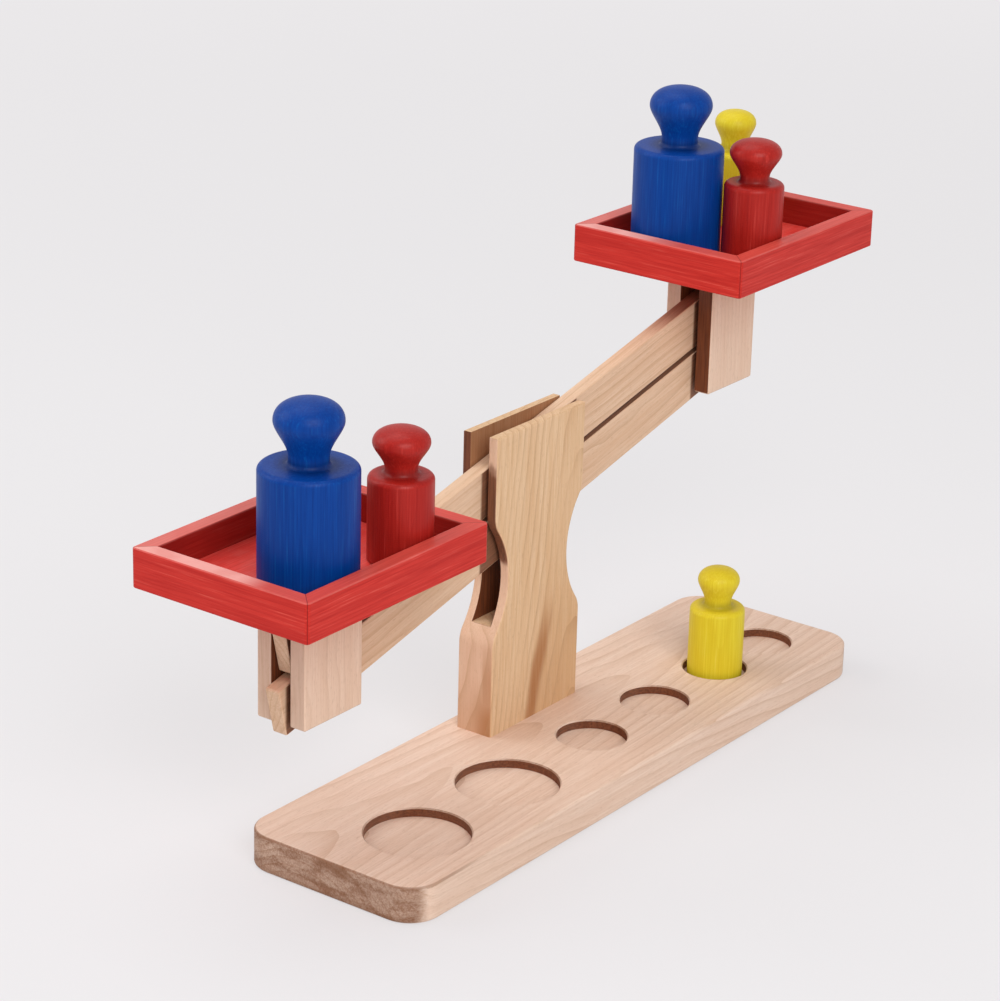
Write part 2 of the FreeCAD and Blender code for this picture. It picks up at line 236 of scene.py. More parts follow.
# %% [markdown]
# ## The figure of the wood
# Wood could be drawn as flat stripes, but then the ends of a board look like its sides. Here the
# pattern is solid: growth rings are cylinders round a pith, so a face along the trunk shows long
# lines and arches, and a face across it shows arcs. Fibres and pores are noise that is drawn out
# along the grain, so they are dashes on a side and dots on an end.

# %% Rings, bands, fibres and pores
NOISES = {  # fineness per millimetre along, across and deep, then detail and roughness
    "sway": ((0.007, 0.02, 0.02), 3.0, 0.5),
    "bands": ((0.008, 0.16, 0.16), 3.0, 0.5),
    "fibres": ((0.035, 1.3, 1.3), 4.0, 0.6),
    "pores": ((0.3, 3.2, 3.2), 1.0, 0.5),
    "clouds": ((0.012, 0.05, 0.05), 2.0, 0.5),
    "blotches": ((0.03, 0.06, 0.16), 3.0, 0.5),
}
noise_middle = 0.5
sway_across_mm = 14.0
sway_deep_mm = 8.0
ring_sharpness = 4.0


class Figure:
    """The pattern of one piece: values that are 0 where the wood is plain and 1 where marked.

    pith is where the pith runs, in millimetres across and deep from the piece's middle. pitch is
    the width of a ring, taper how much the rings widen along the trunk, shift a step into the
    pattern, so that like pieces differ.
    """

    def __init__(self, finish, name, turn, pith, pitch=3.0, taper=0.02, shift=0.0):
        self.finish = finish
        self.grain = finish.local(middle(name) + Vector((shift, shift, shift)), turn)
        self.along, across, deep = finish.split(self.grain)
        sway = self.noise("sway") - noise_middle
        side = across - pith[0] + sway * sway_across_mm
        depth = deep - pith[1] + sway * sway_deep_mm
        self.distance = (side * side + depth * depth) ** 0.5 + self.along * taper
        self.rings = (self.distance / pitch).maths("FRACT") ** ring_sharpness
        self.bands = self.noise("bands").rise(0.42, 0.68)
        self.fibres = self.noise("fibres")
        self.end = abs(finish.facing(GRAIN_AXIS[turn])).rise(0.3, 0.75)

    def noise(self, word):
        return self.finish.noise(self.grain, *NOISES[word])

    def blotches(self):
        return self.noise("blotches").rise(0.42, 0.62)


board_low, board_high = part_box("base_board")
board_ring_pitch = 3.4
print("rings across the board:", round((board_high.y - board_low.y) / MM / board_ring_pitch))

# %% [markdown]
# ## Plain wood
# The board, post, beams and hangers are bare pale wood with no shine. The side grain is warm
# beige with faint darker rings, and end grain is darker and rougher. The tools ran hot in the
# slots and recesses, which were never sanded, so their walls are toasted brown, and painted shade
# darkens them further, as it does other shaded places. An image of wood would stretch over the
# ends, so the colours are laid one over the other by the solid figure.

# %% The colours of plain wood, each a pale tone and a warm one, and of its marks
BOARD_WOOD = ((0.835, 0.635, 0.510), (0.730, 0.500, 0.370))
POST_WOOD = ((0.800, 0.560, 0.350), (0.690, 0.425, 0.225))
HANGER_WOOD = ((0.830, 0.620, 0.480), (0.740, 0.505, 0.360))
BEAM_WOOD = ((0.780, 0.550, 0.385), (0.680, 0.425, 0.260))
DOWEL_WOOD = ((0.700, 0.480, 0.300), (0.600, 0.370, 0.200))
LATE_WOOD = (0.480, 0.255, 0.125)
PORE = (0.420, 0.235, 0.125)
END_WOOD = (0.205, 0.080, 0.034)
# These two browns serve both toasted walls and painted shade: slots, recesses, beam gaps, shaded
# ends.
TOAST_AND_SHADE_BROWN = (0.185, 0.050, 0.015)
DEEP_TOAST_AND_SHADE_BROWN = (0.090, 0.023, 0.008)
print("pale and warm tone of the board:", BOARD_WOOD)

# %% The plain wood finish
warm_fibre_share = 0.75
warm_band_share = 0.45
pore_share = 0.3
END_SHARES = {"fibres": 0.32, "rings": 0.12, "blotches": 0.22, "all": 0.36}
plain_roughness = 0.5
plain_bump = 0.25


def plain_wood(
    title, name, turn, tones, toast_and_shade_mask=None, marks=None, ring_strength=0.5, end_strength=0.45, **figure
):
    """Bare wood. One mask gives the places darkened by toast and by painted shade, marks adds more
    colour to the wood.
    """
    finish = Finish(title, Specular_IOR_Level=0.35)
    wood = Figure(finish, name, turn, **figure)
    pores = wood.noise("pores").rise(0.60, 0.72)
    patchy_rings = wood.rings * wood.noise("clouds").rise(0.2, 0.65)
    pale, warm = tones
    colour = finish.mix(wood.fibres.rise(0.3, 0.72) * warm_fibre_share, pale, warm)
    colour = finish.mix(wood.bands * warm_band_share, colour, warm)
    if marks:
        colour = marks(finish, wood, colour)
    colour = finish.mix(patchy_rings * ring_strength, colour, LATE_WOOD)
    colour = finish.mix(pores * pore_share, colour, PORE)
    mottle = wood.fibres.rise(0.3, 0.7) * END_SHARES["fibres"] + wood.rings * END_SHARES["rings"]
    mottle = mottle + wood.blotches() * END_SHARES["blotches"] + END_SHARES["all"]
    colour = finish.mix(wood.end * mottle * end_strength, colour, END_WOOD)
    if toast_and_shade_mask:
        # One dark brown for toasted walls and for painted shade.
        darkening = finish.mix(wood.fibres.rise(0.35, 0.7), TOAST_AND_SHADE_BROWN, DEEP_TOAST_AND_SHADE_BROWN)
        colour = finish.mix(toast_and_shade_mask(finish), colour, darkening)
    finish.paint(colour, plain_roughness + wood.fibres * 0.12 + wood.end * 0.15)
    finish.bump(wood.fibres * 0.5 + pores * -0.6 + wood.rings * -0.3, plain_bump)
    finish.put_on(name)


print("how dark end grain is, from", END_SHARES["all"], "to", round(sum(END_SHARES.values()), 2))

# %% [markdown]
# ## The board
# The board was sawn along the trunk, so lines run its whole length. The recess walls could be
# picked face by face. Finding them by place and facing needs no picking: they are upright and lie
# inside the board's outline. Their walls are toasted, with painted shade over them, less on the
# walls that face the board's right end. Its left end, nearest the camera, is darker towards the
# front and along its upper edges, and darkest low down, which is painted shade near the floor.

# %% Finish the board
outline_margin = 0.006
outline_fade = 0.001
recess_reach = 0.005
recess_reach_fade = 0.0002
# How dark the toast and painted shade on the recess walls are, and on the walls that face right.
wall_share, turned_wall_share = 0.94, 0.38
# Painted shade low on the board's end grain, near the floor; then a darker front and upper edges.
foot_shade_heights = (0.007, 0.001)  # heights, from where the dark starts to where it is full
darker_front_reach = (0.045, 0.005)
darker_left_reach = (-0.120, -0.165)
DARKER_END_SHARES = {"foot": 0.50, "front": 0.22, "front blotches": 0.45, "upper edge": 0.55}


def recess_walls(finish):
    """1 on the upright walls of the recesses, and less where they face the board's right end."""
    x, y, z = finish.split(finish.place())
    upright = abs(finish.facing(UP)).rise(0.8, 0.3)
    half_length = board_high.x - outline_margin
    half_width = board_high.y - outline_margin
    inside = abs(x).rise(half_length + outline_fade, half_length)
    inside = inside * abs(y).rise(half_width + outline_fade, half_width)
    lowest = board_high.z - recess_reach
    above = z.rise(lowest - recess_reach_fade, lowest + recess_reach_fade)
    # Painted shade: weaker on the walls that face right.
    turned = finish.facing(RIGHT).rise(0.95, 0.25) * (wall_share - turned_wall_share)
    return upright * inside * above * (turned + turned_wall_share)


def darker_end_and_foot_shade(finish, wood, colour):
    """Darker end grain low down and towards the front, and upper edges darker at the left end."""
    x, y, z = finish.split(finish.place())
    # Painted shade at the foot of the end grain, near the floor.
    foot = wood.end * z.rise(*foot_shade_heights) * DARKER_END_SHARES["foot"]
    front = wood.blotches() * DARKER_END_SHARES["front blotches"] + DARKER_END_SHARES["front"]
    front = wood.end * y.rise(*darker_front_reach) * front
    up = finish.facing(UP)
    upper_edge = up.rise(0.1, 0.4) * up.rise(0.97, 0.85) * x.rise(*darker_left_reach)
    upper_edge = upper_edge * DARKER_END_SHARES["upper edge"]
    return finish.mix(foot.larger(front).larger(upper_edge), colour, END_WOOD)


plain_wood(
    "board_wood", "base_board", ALONG_X, BOARD_WOOD, toast_and_shade_mask=recess_walls, marks=darker_end_and_foot_shade,
    end_strength=1.0, pith=(16.0, -46.0), pitch=board_ring_pitch, taper=0.05, ring_strength=0.4,
)
print("board:", [round(value, 4) for value in board_high - board_low])

# %% [markdown]
# ## The post
# The post stands with its grain upright, and its front was sawn at a tangent to the rings, so the
# grain shows arches low on the right, round a warmer heart with a dark streak along its edge. The
# walls of its slot are toasted, with painted shade over them, and painted shade darkens the left
# ends of its cheeks, the back one more than the front one. The walls are a lighter brown near the
# top, a painted half shade where light reaches in, and the slot's floor, which looks up, gets no
# painted shade, so it stays pale. All these marks could be painted on by hand, but a mask for each
# stays sharp from near by, and moves when its value is changed.

# %% Find the post's slot
post_low, post_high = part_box("post")
fork_middle_y = (post_low.y + post_high.y) / 2
slot_half_width = 0.0056
slot_fade = 0.0002
post_slot_depth = 0.0975
post_slot_floor = post_high.z - post_slot_depth
slot_end_fade = (-0.0003, 0.0001)
# Near the open top the walls get less painted shade.
upper_walls = (0.125, 0.140)  # heights between which the walls turn a lighter brown
upper_walls_share = 0.15
# Heights of the painted shade on the left ends of the cheeks.
back_mark = (0.120, 0.130)  # heights between which the back cheek's end turns dark
front_mark_low, front_mark_high = 0.104, 0.156
front_mark_fade_low, front_mark_fade_high = 0.003, 0.004
front_mark_share = 0.93
mark_wander = 0.012


def between_cheeks(finish):
    """1 on all that lies in line with the slots."""
    y = finish.split(finish.place())[1]
    return abs(y - fork_middle_y).rise(slot_half_width + slot_fade, slot_half_width)


def not_floor(finish):
    """1 on walls and ceilings, and 0 on what looks up."""
    return finish.facing(UP).rise(0.8, 0.5)


def post_slot(finish):
    """1 low in the slot, less near its open top, and 1 on the left ends of the cheeks."""
    y, z = finish.split(finish.place())[1:]
    # Toast and painted shade on the walls, and painted shade on the cheeks' left ends.
    walls = between_cheeks(finish) * not_floor(finish)
    walls = walls * z.rise(post_slot_floor + slot_end_fade[0], post_slot_floor + slot_end_fade[1])
    walls = walls * (1 - z.rise(*upper_walls) * (1 - upper_walls_share))
    left_end = finish.facing(LEFT).rise(0.6, 0.85)
    back = y.rise(fork_middle_y, fork_middle_y + 1 * MM) * z.rise(*back_mark)
    wander = finish.noise(finish.local((0, 0, 0)), (0.25, 0.25, 0.12)) - noise_middle
    height = z + wander * mark_wander
    front = height.rise(front_mark_low - front_mark_fade_low, front_mark_low + front_mark_fade_low)
    top_fade = (front_mark_high + front_mark_fade_high, front_mark_high - front_mark_fade_high)
    front = front * height.rise(*top_fade)
    return walls.larger(left_end * back.larger(front * front_mark_share))


print("slot: middle y", round(fork_middle_y, 4), "floor z", round(post_slot_floor, 4))

# %% Finish the post
HEARTWOOD = (0.560, 0.290, 0.120)
STREAK = (0.430, 0.185, 0.070)
ROSY_WOOD = (0.700, 0.440, 0.360)
# A mid brown for the painted half shade near the slot's top.
HALF_SHADE_BROWN = (0.360, 0.150, 0.062)
heart_radius_mm = 35.0
heart_inner_mm, heart_outer_mm = 3.0, 1.0
streak_inset_mm = 3.5
streak_reach_mm = (4.5, 1.0)
heart_share, low_heart_share = 0.13, 0.26
uneven_streak_share = 0.3
half_shade_share, half_shade_fibre_share = 0.6, 0.5
rosy_share = 0.45
foot_share, front_foot_share, corner_share = 0.30, 0.62, 0.62
GROWS_MM = {  # from where each mark starts to where it is full, up from the post's middle
    "heart": (20.0, -60.0),
    "streak": (-12.0, -46.0),
    "foot": (-44.0, -70.0),
    "corner": (-20.0, -50.0),
}


def heart_and_streak(finish, wood, colour):
    """The warm heart, its dark edge low down, and the left side: rosier, and darker at its foot."""
    heart = wood.distance.rise(heart_radius_mm + heart_outer_mm, heart_radius_mm - heart_inner_mm)
    heart = heart * (wood.along.rise(*GROWS_MM["heart"]) * low_heart_share + heart_share)
    colour = finish.mix(heart, colour, HEARTWOOD)
    uneven = wood.fibres.rise(0.2, 0.6) * uneven_streak_share + (1 - uneven_streak_share)
    streak = abs(wood.distance - (heart_radius_mm - streak_inset_mm)).rise(*streak_reach_mm)
    streak = streak * wood.along.rise(*GROWS_MM["streak"]) * uneven
    colour = finish.mix(streak, colour, STREAK)
    y, z = finish.split(finish.place())[1:]
    # A painted half shade on the slot's walls near the open top, where light reaches in.
    half_shade = between_cheeks(finish) * z.rise(*upper_walls) * not_floor(finish)
    half_shade = half_shade * (wood.fibres * half_shade_fibre_share + half_shade_share)
    colour = finish.mix(half_shade, colour, HALF_SHADE_BROWN)
    left = finish.facing(LEFT).rise(0.5, 0.9)
    colour = finish.mix(left * rosy_share, colour, ROSY_WOOD)
    to_front = y.rise(fork_middle_y + 4 * MM, post_low.y + 2 * MM)
    foot = wood.along.rise(*GROWS_MM["foot"]) * (to_front * front_foot_share + foot_share)
    corner = wood.along.rise(*GROWS_MM["corner"]) * to_front.rise(0.7, 0.9) * corner_share
    return finish.mix(left * foot.larger(corner), colour, STREAK)


plain_wood(
    "post_wood", "post", ALONG_Z, POST_WOOD, toast_and_shade_mask=post_slot, marks=heart_and_streak,
    end_strength=0.12, pith=(-34.0, -30.0), pitch=4.2, taper=0.11, ring_strength=0.6,
)
print("post:", [round(value, 4) for value in post_high - post_low])

# %% [markdown]
# ## The beams
# The beams were ripped from the same plank, one after the other, so they differ only by a shift
# of the pattern. Their long edges face each other across a narrow gap, where painted shade darkens
# them. Painted shade also darkens their fronts where they run between the cheeks, and the top just
# before the right hanger is toasted, with a painted shadow of the pan over it. Each beam could get
# marks of its own, but one function draws them on both, with the edge at the gap turned over.

# %% Finish the beams
beam_up = (-math.sin(rest_tilt), 0, math.cos(rest_tilt))
hanger_pivots = [
    joint["pos_m"][0] for joint in frame["joints"] if joint["name"].endswith("pan_level")
]
# Where and how strongly painted shade darkens the beams.
post_shade_half_length = 0.0375
hanger_shade_half_length = 0.0200
gap_shade_from = (-0.165, -0.150)
before_hanger_from = (0.098, 0.138)
SQUARELY = (0.9, 0.98)
BEAM_SHADE_SHARES = {"gap edge": 0.85, "between cheeks": 0.90, "before the hanger": 0.85}


def painted_beam_shade(gap_side):
    """A mask of painted shade on a beam: its edge towards the gap, its front between cheeks, and
    its top before the right hanger.
    """

    def mask(finish):
        x = finish.split(finish.place())[0]
        gap_edge = finish.facing([gap_side * part for part in beam_up]).rise(*SQUARELY)
        gap_edge = gap_edge * x.rise(*gap_shade_from) * BEAM_SHADE_SHARES["gap edge"]
        reaches = [(0.0, post_shade_half_length)]
        reaches += [(place, hanger_shade_half_length) for place in hanger_pivots]
        inside = 0.0
        for centre, reach in reaches:
            inside = abs(x - centre).rise(reach + 1 * MM, reach - 1 * MM) + inside
        inside = inside * finish.facing(FRONT).rise(*SQUARELY) * BEAM_SHADE_SHARES["between cheeks"]
        before_hanger = finish.facing(beam_up).rise(0.8, 0.95) * x.rise(*before_hanger_from)
        return gap_edge.larger(inside).larger(before_hanger * BEAM_SHADE_SHARES["before the hanger"])

    return mask


plain_wood(
    "upper_beam_wood", "upper_beam", ALONG_BEAM, BEAM_WOOD, toast_and_shade_mask=painted_beam_shade(-1), end_strength=0.18,
    pith=(40.0, -30.0), pitch=3.1, taper=0.01,
)
plain_wood(
    "lower_beam_wood", "lower_beam", ALONG_BEAM, BEAM_WOOD, toast_and_shade_mask=painted_beam_shade(1), end_strength=0.18,
    pith=(44.0, 22.0), pitch=3.3, taper=-0.012, shift=0.05,
)
print("hanger pivots at x:", [round(place, 4) for place in hanger_pivots])

# %% [markdown]
# ## The hangers
# The hangers stand with upright grain and have the same toasted slots as the post, with painted
# shade over them, closed at the top by a roof. Painted shade darkens the left end of the right
# one's front cheek too, and the other ends of the cheeks only faintly. Their slots stand in line
# with the post's, so the mask that finds those walls is used again, with the roof in place of the
# floor.

# %% Finish the hangers
hanger_roof = 0.0065
faint_end_shade = 0.25
# How strong the painted shade on each front cheek's left end is, and where the pith runs.
HANGERS = {
    "left_hanger": (faint_end_shade, (30.0, 28.0)),
    "right_hanger": (1.0, (-26.0, 35.0)),
}


def hanger_slot(name, front_end_shade):
    """A mask of a hanger's slot and of the left ends of its cheeks, the back one only faint."""
    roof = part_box(name)[1].z - hanger_roof

    def mask(finish):
        y, z = finish.split(finish.place())[1:]
        walls = between_cheeks(finish) * z.rise(roof - slot_end_fade[0], roof - slot_end_fade[1])
        # Painted shade on the cheeks' left ends, full or faint.
        front_cheek = y.rise(fork_middle_y + 1 * MM, fork_middle_y)
        darkening = front_cheek * (front_end_shade - faint_end_shade) + faint_end_shade
        return walls.larger(finish.facing(LEFT).rise(0.85, 0.97) * darkening)

    return mask


for name, (front_end_shade, pith) in HANGERS.items():
    plain_wood(
        name + "_wood", name, ALONG_Z, HANGER_WOOD, toast_and_shade_mask=hanger_slot(name, front_end_shade),
        pith=pith, taper=0.05, ring_strength=0.3,
    )

# %% [markdown]
# ## Stained wood
# The pans and weights were dipped in a clear bright stain and sealed, so the grain still shows
# through as darker and lighter streaks. A flat coat of paint would hide it. The seal leaves a
# satin gloss, which a thin coat over the colour gives.

# %% The colours of the stains, each plain, deep and light, and the strength of its seal
STAINS = {
    "pan_red": ((0.620, 0.034, 0.024), (0.430, 0.013, 0.010), (0.790, 0.150, 0.110)),
    "floor_red": ((0.780, 0.040, 0.029), (0.600, 0.018, 0.013), (0.870, 0.140, 0.105)),
    "red": ((0.440, 0.018, 0.012), (0.300, 0.007, 0.005), (0.650, 0.065, 0.050)),
    "blue": ((0.000, 0.052, 0.300), (0.000, 0.029, 0.200), (0.005, 0.138, 0.430)),
    "yellow": ((0.760, 0.620, 0.030), (0.660, 0.480, 0.014), (0.880, 0.770, 0.120)),
}
SEAL = {"pan_red": 0.09, "floor_red": 0.09, "red": 0.20, "blue": 0.08, "yellow": 0.14}
# A pale red for wear and scuffs, and for the painted highlight on the pans' upper edges.
WORN_AND_HIGHLIGHT_RED = (0.860, 0.370, 0.325)
print("stains:", list(STAINS))

# %% The stained finish
DEEP_SHARES = {"fibres": 0.70, "bands": 0.35, "rings": 0.30, "end": 0.25}
light_fibre_share = 0.5
shade_depth = 0.2
stained_roughness = 0.36
stained_bump = 0.22


def stained_wood(
    title, name, turn, colour_name, shade=None, wear_and_highlight=None, ridges=None, upper=0.0, **figure
):
    """Stained, sealed wood.

    shade gives a mask to darken it, a mask of wear and painted highlight one to lighten it, and
    ridges a height. upper is how much lighter, as painted light, the faces that look up are.
    """
    finish = Finish(title, Specular_IOR_Level=0.12, Coat_Roughness=0.28)
    wood = Figure(finish, name, turn, **figure)
    plain, deep, light = STAINS[colour_name]
    colour = finish.mix(wood.fibres.rise(0.38, 0.75) * DEEP_SHARES["fibres"], plain, deep)
    colour = finish.mix(wood.fibres.rise(0.44, 0.25) * light_fibre_share, colour, light)
    colour = finish.mix(wood.bands * DEEP_SHARES["bands"], colour, deep)
    colour = finish.mix(wood.rings * DEEP_SHARES["rings"], colour, deep)
    colour = finish.mix(wood.end * DEEP_SHARES["end"], colour, deep)
    # Painted light: faces that look up are lighter.
    if upper:
        colour = finish.mix(finish.facing(UP).rise(*SQUARELY) * upper, colour, light)
    # Wear, and a painted highlight on upper edges.
    if wear_and_highlight:
        colour = finish.mix(wear_and_highlight(finish), colour, WORN_AND_HIGHLIGHT_RED)
    if shade:
        colour = finish.mix(shade(finish), colour, [channel * shade_depth for channel in deep])
    finish.paint(colour, stained_roughness + wood.fibres * 0.16)
    finish.feed(finish.shader.inputs["Coat Weight"], SEAL[colour_name] - wood.fibres * 0.08)
    height = wood.fibres * 0.45 + wood.rings * -0.3
    if ridges:
        height = height + ridges(finish)
    finish.bump(height, stained_bump)
    finish.put_on(name)


print("seals:", SEAL)

# %% [markdown]
# ## The pans
# Four strips with mitred corners frame a floor panel. Where two strips meet, a hairline of glue
# and stain shows. It could be a cut groove, but it is thinner than a bevel could show, so the
# finish darkens a thin band on the mitre's plane. The inner walls took more stain than the sanded
# outside, and painted shade darkens them further. The upper edges carry a painted highlight, and
# the faces that look up are painted lighter, as lit from above. Small hands have rubbed the tops
# lighter, most on the left strip of each pan, where the pale wood shows through.

# %% Finish the pans
STRIPS = {"front": ALONG_X, "back": ALONG_X, "outer": ALONG_Y, "inner": ALONG_Y}
WORN_TOPS = {"front": 0.08, "back": 0.30, "outer": 0.08, "inner": 0.08}
MOST_WORN = {  # the strip, and from where to where its wear grows towards the back
    "left": ("outer", -0.026, -0.006),
    "right": ("inner", -0.016, 0.016),
}
seam_half_width = 0.00015
seam_fade = 0.000225
strip_width = 0.0085
wall_margins = (0.0005, 0.0002)
# How much lighter the faces that look up are painted, as lit from above.
painted_top_light_share = 0.32
# The seam is a dark joint; the inner walls are darker with more stain and painted shade.
seam_shade, wall_shade = 0.60, 0.55
# A painted highlight on the upper edges.
edge_highlight_share = 0.22
least_worn_share = 0.07
patchy_wear_share = 0.25
scuff_share, dust_share = 0.09, 0.05


def pan_finish(side):
    """Finishes the strips and the floor of one pan."""
    names = [f"{side}_pan_{word}_strip" for word in STRIPS]
    low = Vector([min(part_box(name)[0][axis] for name in names) for axis in range(3)])
    high = Vector([max(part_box(name)[1][axis] for name in names) for axis in range(3)])
    centre, half = (low + high) / 2, (high - low) / 2
    worn_word, worn_from, worn_to = MOST_WORN[side]

    def seams_and_wall_shade(finish):
        x, y = finish.split(finish.place())[:2]
        from_end = half.x - abs(x - centre.x)
        from_side = half.y - abs(y - centre.y)
        seam = abs(from_end - from_side).rise(seam_half_width + seam_fade, seam_half_width)
        # The inner walls: more stain, and painted shade.
        fade = [strip_width - margin for margin in wall_margins]
        wall = from_end.maths("MINIMUM", from_side).rise(*fade)
        return (seam * seam_shade).larger(wall * wall_shade)

    def wear_and_edge_highlight(worn_top):
        def mask(finish):
            up = finish.facing(UP)
            # A painted highlight on the upper edges; the tops are worn lighter.
            edge = up.rise(0.15, 0.5) * up.rise(0.99, 0.93) * edge_highlight_share
            cloud = finish.noise(finish.local(centre), (0.08, 0.08, 0.08), detail=3.0)
            y = finish.split(finish.place())[1]
            to_back = (y - centre.y).rise(worn_from, worn_to)
            to_back = to_back * (1 - least_worn_share) + least_worn_share
            top = up.rise(*SQUARELY) * worn_top * to_back
            patchy = cloud.rise(0.3, 0.6) * patchy_wear_share + (1 - patchy_wear_share)
            return edge.larger(top) * patchy

        return mask

    def scuffs(finish):
        """Faint marks that the weights' feet leave on the floor, over a film of dust."""
        cloud = finish.noise(finish.local(centre), (0.10, 0.16, 0.10), detail=4.0).rise(0.35, 0.75)
        return cloud * scuff_share + dust_share

    for index, (word, turn) in enumerate(STRIPS.items()):
        worn_top = 1.0 if word == worn_word else WORN_TOPS[word]
        stained_wood(
            f"{side}_{word}_stain", names[index], turn, "pan_red", shade=seams_and_wall_shade,
            wear_and_highlight=wear_and_edge_highlight(worn_top), upper=painted_top_light_share, pitch=2.6, shift=0.02 * index,
            pith=(20.0 + 9.0 * index, 34.0 - 5.0 * index),
        )
    stained_wood(
        f"{side}_floor_stain", f"{side}_pan_floor", ALONG_X, "floor_red", wear_and_highlight=scuffs,
        pith=(25.0, -60.0), pitch=3.0,
    )
    print(side, "pan:", [round(value, 4) for value in high - low])


pan_finish("left")
pan_finish("right")

# %% [markdown]
# ## The weights
# Each weight is turned from one stick, so the grain runs up it and the top shows its rings. The
# turner's tool leaves fine rings round the axis, which catch the light. They are a bump that
# waves with height, since modelling them would take many faces for a hair's depth. Stain gathers
# in the groove at the neck's root, and painted shade falls there under the knob; a band of darker
# colour at that height shows both.

# %% Tool marks and the neck's groove
tool_mark_pitch_mm = 0.9
tool_mark_uneven = 5.0
tool_mark_height = 0.10
shoulder_share = 0.65
groove_half_height = 0.0056
groove_reach_shares = (0.40, 0.22)
groove_shade = 0.55


def tool_marks(name):
    """Ridges on a weight: a faint wave with height, uneven as a hand-held tool leaves it."""

    def ridges(finish):
        level = finish.split(finish.local(middle(name)))[2]
        uneven = finish.noise(finish.local(middle(name)), (0.03, 0.03, 0.4), detail=1.0)
        wave = level * (math.tau / tool_mark_pitch_mm) + uneven * tool_mark_uneven
        return wave.maths("SINE") * tool_mark_height

    return ridges


def neck_groove(name):
    """A mask of the root of a weight's neck, which fades up, down and outwards."""
    low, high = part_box(name)
    level = low.z + (high.z - low.z) * shoulder_share
    fade = [(high.x - low.x) * share for share in groove_reach_shares]

    def mask(finish):
        x, y, z = finish.split(finish.place())
        side = x - middle(name).x
        depth = y - middle(name).y
        inward = ((side * side + depth * depth) ** 0.5).rise(*fade)
        # Stain in the groove and painted shade under the knob.
        return abs(z - level).rise(groove_half_height, 0.0) * inward * groove_shade

    return mask


print("one tool mark every", tool_mark_pitch_mm, "mm")

# %% Finish the weights
WEIGHTS = {
    "left_blue_weight": ("blue", (18.0, 14.0)),
    "right_blue_weight": ("blue", (-24.0, 10.0)),
    "left_red_weight": ("red", (14.0, -12.0)),
    "right_red_weight": ("red", (-10.0, -16.0)),
    "right_yellow_weight": ("yellow", (12.0, 15.0)),
    "base_yellow_weight": ("yellow", (-13.0, 9.0)),
}
weight_shift = 0.013
for index, (name, (colour_name, pith)) in enumerate(WEIGHTS.items()):
    stained_wood(
        name.replace("weight", "stain"), name, ALONG_Z, colour_name,
        shade=neck_groove(name), ridges=tool_marks(name), pith=pith, pitch=2.4,
        shift=weight_shift * index,
    )

# %% [markdown]
# ## Pins, spacers and screws
# The pins are dowels whose sawn ends show at the back. The spacers are milky plastic rings, and
# the screws under the board are zinc plated: bright steel with the turning marks of their heads.
# A flat colour would look dead from near by, so even these small parts get a cloud and a bump.

# %% Finish the pins
PINS = ["center_upper_pin", "center_lower_pin"]
PINS += [f"{side}_{level}_pin" for side in ("left", "right") for level in ("upper", "lower")]
for name in PINS:
    plain_wood(name + "_wood", name, ALONG_Y, DOWEL_WOOD, pith=(1.5, 4.0), pitch=0.9, taper=0.0)

# %% Finish the spacers and the screws
MILKY = ((0.80, 0.79, 0.74), (0.72, 0.70, 0.64))
ZINC = ((0.62, 0.62, 0.60), (0.42, 0.42, 0.41))
for name in ("center_spacers", "left_spacers", "right_spacers"):
    finish = Finish(name + "_plastic", Subsurface_Weight=0.1)
    cloud = finish.noise(finish.local(middle(name)), (0.4, 0.4, 0.4), detail=2.0)
    finish.paint(finish.mix(cloud, *MILKY), 0.38 + cloud * 0.15)
    finish.bump(cloud, 0.1)
    finish.put_on(name)

finish = Finish("screw_zinc", Metallic=1.0)
brushed = finish.noise(finish.local(middle("post_screws")), (0.8, 0.8, 6.0), detail=2.0)
finish.paint(finish.mix(brushed, *ZINC), 0.25 + brushed * 0.2)
finish.bump(brushed, 0.15)
finish.put_on("post_screws")

# %% [markdown]
# ## The background
# A picture of a small toy is taken in a light tent, on a pale floor. What the camera sees is a
# plain pale world, kept apart from the light that the world gives. The floor glows in the same
# colour, but only for the rays that the camera sees, so it adds no light. Near the toy it is part
# paper, which keeps the toy's shadow, and far off it only glows, so that no horizon shows.

# %% Find the rays that see the background


def seen_rays(tree):
    """1 for a ray from the camera, or one that metal or glass sends on, and 0 for light."""
    kinds = ("Camera", "Glossy", "Transmission")
    rays = [tree.node("ShaderNodeLightPath", {}, {}, output=f"Is {kind} Ray") for kind in kinds]
    return rays[0].larger(rays[1]).larger(rays[2])


print("the floor and the world both use", seen_rays.__name__)

# %% Lay the floor
PALE = (0.845, 0.825, 0.837)
PAPER = ((0.80, 0.79, 0.80), (0.83, 0.82, 0.83))
floor_size = 12.0
floor_drop = 0.0002
glow_from, glow_to = 0.6, 2.4
near_glow_share = 0.6
bpy.ops.mesh.primitive_plane_add(size=floor_size, location=(0, 0, -floor_drop))
floor = bpy.context.object
floor.name = "floor"
finish = Finish("floor_paper", Specular_IOR_Level=0.1)
cloud = finish.noise(finish.local((0, 0, 0)), (0.002, 0.002, 0.002), detail=1.0)
finish.paint(finish.mix(cloud, *PAPER), 0.9)
x, y = finish.split(finish.place())[:2]
far = ((x * x + y * y) ** 0.5).rise(glow_from, glow_to)
amount = seen_rays(finish) * (far * (1 - near_glow_share) + near_glow_share)
glow = finish.node("ShaderNodeEmission", {}, {"Color": PALE})
paper = Value(finish, finish.shader.outputs[0])
both = finish.node("ShaderNodeMixShader", {}, {0: amount, 1: paper, 2: glow})
finish.feed(finish.tree.nodes["Material Output"].inputs["Surface"], both)
floor.data.materials.append(finish.material)
bpy.ops.object.transform_apply(location=True, rotation=True, scale=True)
print("floor:", floor_size, "m square at z", round(floor.data.vertices[0].co.z, 5))

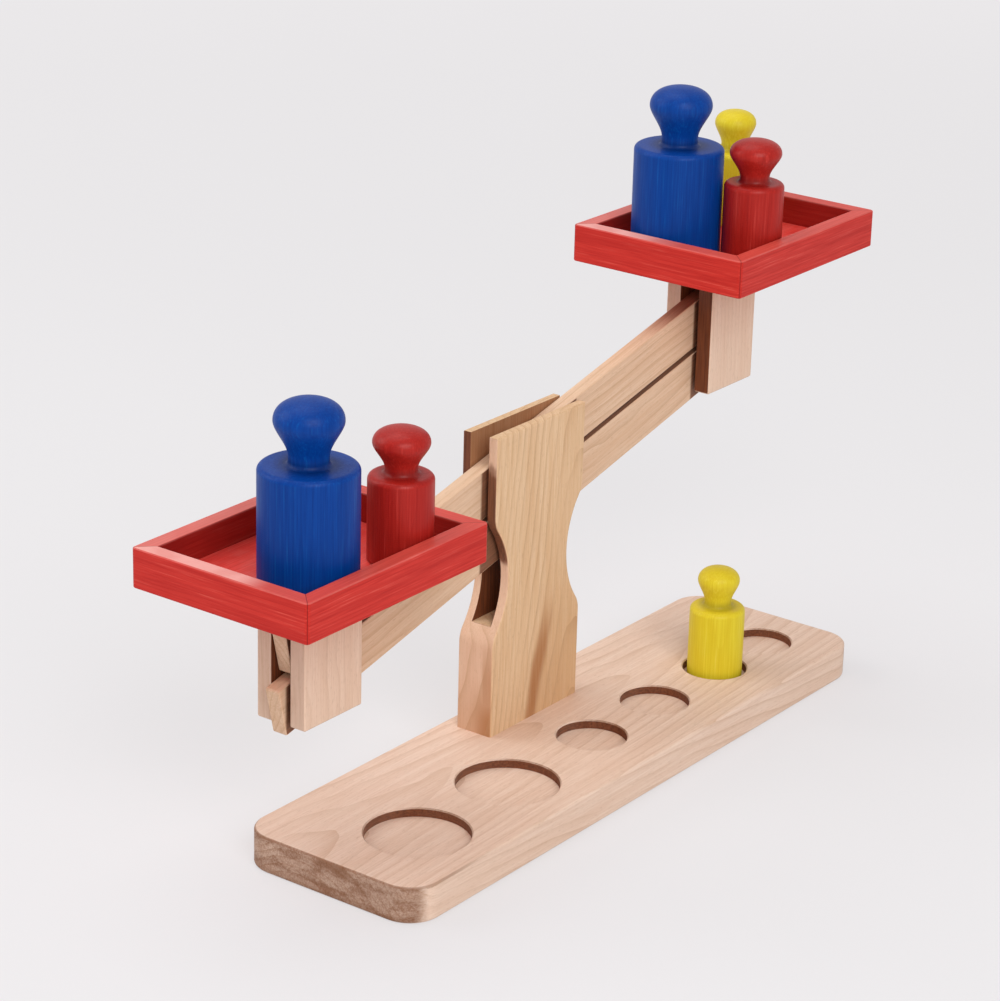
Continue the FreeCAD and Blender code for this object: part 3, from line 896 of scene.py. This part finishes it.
# %% Colour the world
world_light = 0.36
world = bpy.data.worlds.new("light_tent")
bpy.context.scene.world = world
tent = Tree(world)
lit = tent.node("ShaderNodeBackground", {}, {"Color": (1.0, 1.0, 1.0), "Strength": world_light})
seen = tent.node("ShaderNodeBackground", {}, {"Color": PALE})
both = tent.node("ShaderNodeMixShader", {}, {0: seen_rays(tent), 1: lit, 2: seen})
tent.feed(tent.tree.nodes["World Output"].inputs["Surface"], both)
print("world:", len(tent.tree.nodes), "nodes")

# %% [markdown]
# ## The lamps
# Soft light comes from the front left, from the back left and from above. A small lamp would
# throw hard shadows, so these are large squares, a few metres away, which light both pans alike.

# %% Hang the lamps
toy_middle = Vector((0.0, 0.02, 0.13))
lamp_distance = 3.2
LAMPS = {  # the way to the lamp, its size in metres and its power in watts
    "lamp_front": ((-0.75, -1.0, 0.85), 2.0, 64.0),
    "lamp_back_left": ((-0.6, 1.0, 0.7), 2.0, 30.0),
    "lamp_above": ((0.05, 0.3, 1.0), 2.4, 34.0),
}
for name, (direction, size, power) in LAMPS.items():
    place = toy_middle + Vector(direction).normalized() * lamp_distance
    bpy.ops.object.light_add(type="AREA", location=place)
    lamp = bpy.context.object
    lamp.name = name
    lamp.rotation_euler = (place - toy_middle).to_track_quat("Z", "Y").to_euler()
    lamp.data.shape = "SQUARE"
    lamp.data.size = size
    lamp.data.energy = power
    print(name, "at", [round(value, 2) for value in place])

# %% [markdown]
# ## The camera
# The camera stands where the toy's edges line up with those of its picture: low, to the left of
# the board's end, a little turned about its own axis. A longer lens fills the frame without
# changing the perspective, because only the distance sets that.

# %% Place the camera
view_azimuth = math.radians(-55.06)
view_elevation = math.radians(21.96)
view_roll = math.radians(1.52)
view_distance = 1.5425
view_target = Vector((0.0, 0.0, 0.1))
aim = Vector((-0.0244, 0.0277, 0.1360))
lens = 116.0

towards_camera = Vector((
    math.sin(view_azimuth) * math.cos(view_elevation),
    -math.cos(view_azimuth) * math.cos(view_elevation),
    math.sin(view_elevation),
))
eye = view_target + towards_camera * view_distance
back = (eye - aim).normalized()
level_right = Vector(UP).cross(back).normalized()
level_up = back.cross(level_right)
right = level_right * math.cos(view_roll) + level_up * math.sin(view_roll)
up = back.cross(right)
bpy.ops.object.camera_add(location=eye)
camera = bpy.context.object
camera.matrix_world = Matrix.Translation(eye) @ Matrix((right, up, back)).transposed().to_4x4()
camera.data.sensor_fit = "HORIZONTAL"
camera.data.lens = lens
bpy.context.scene.camera = camera
bpy.context.scene.view_settings.view_transform = "Standard"
print("camera at", [round(value, 4) for value in eye])
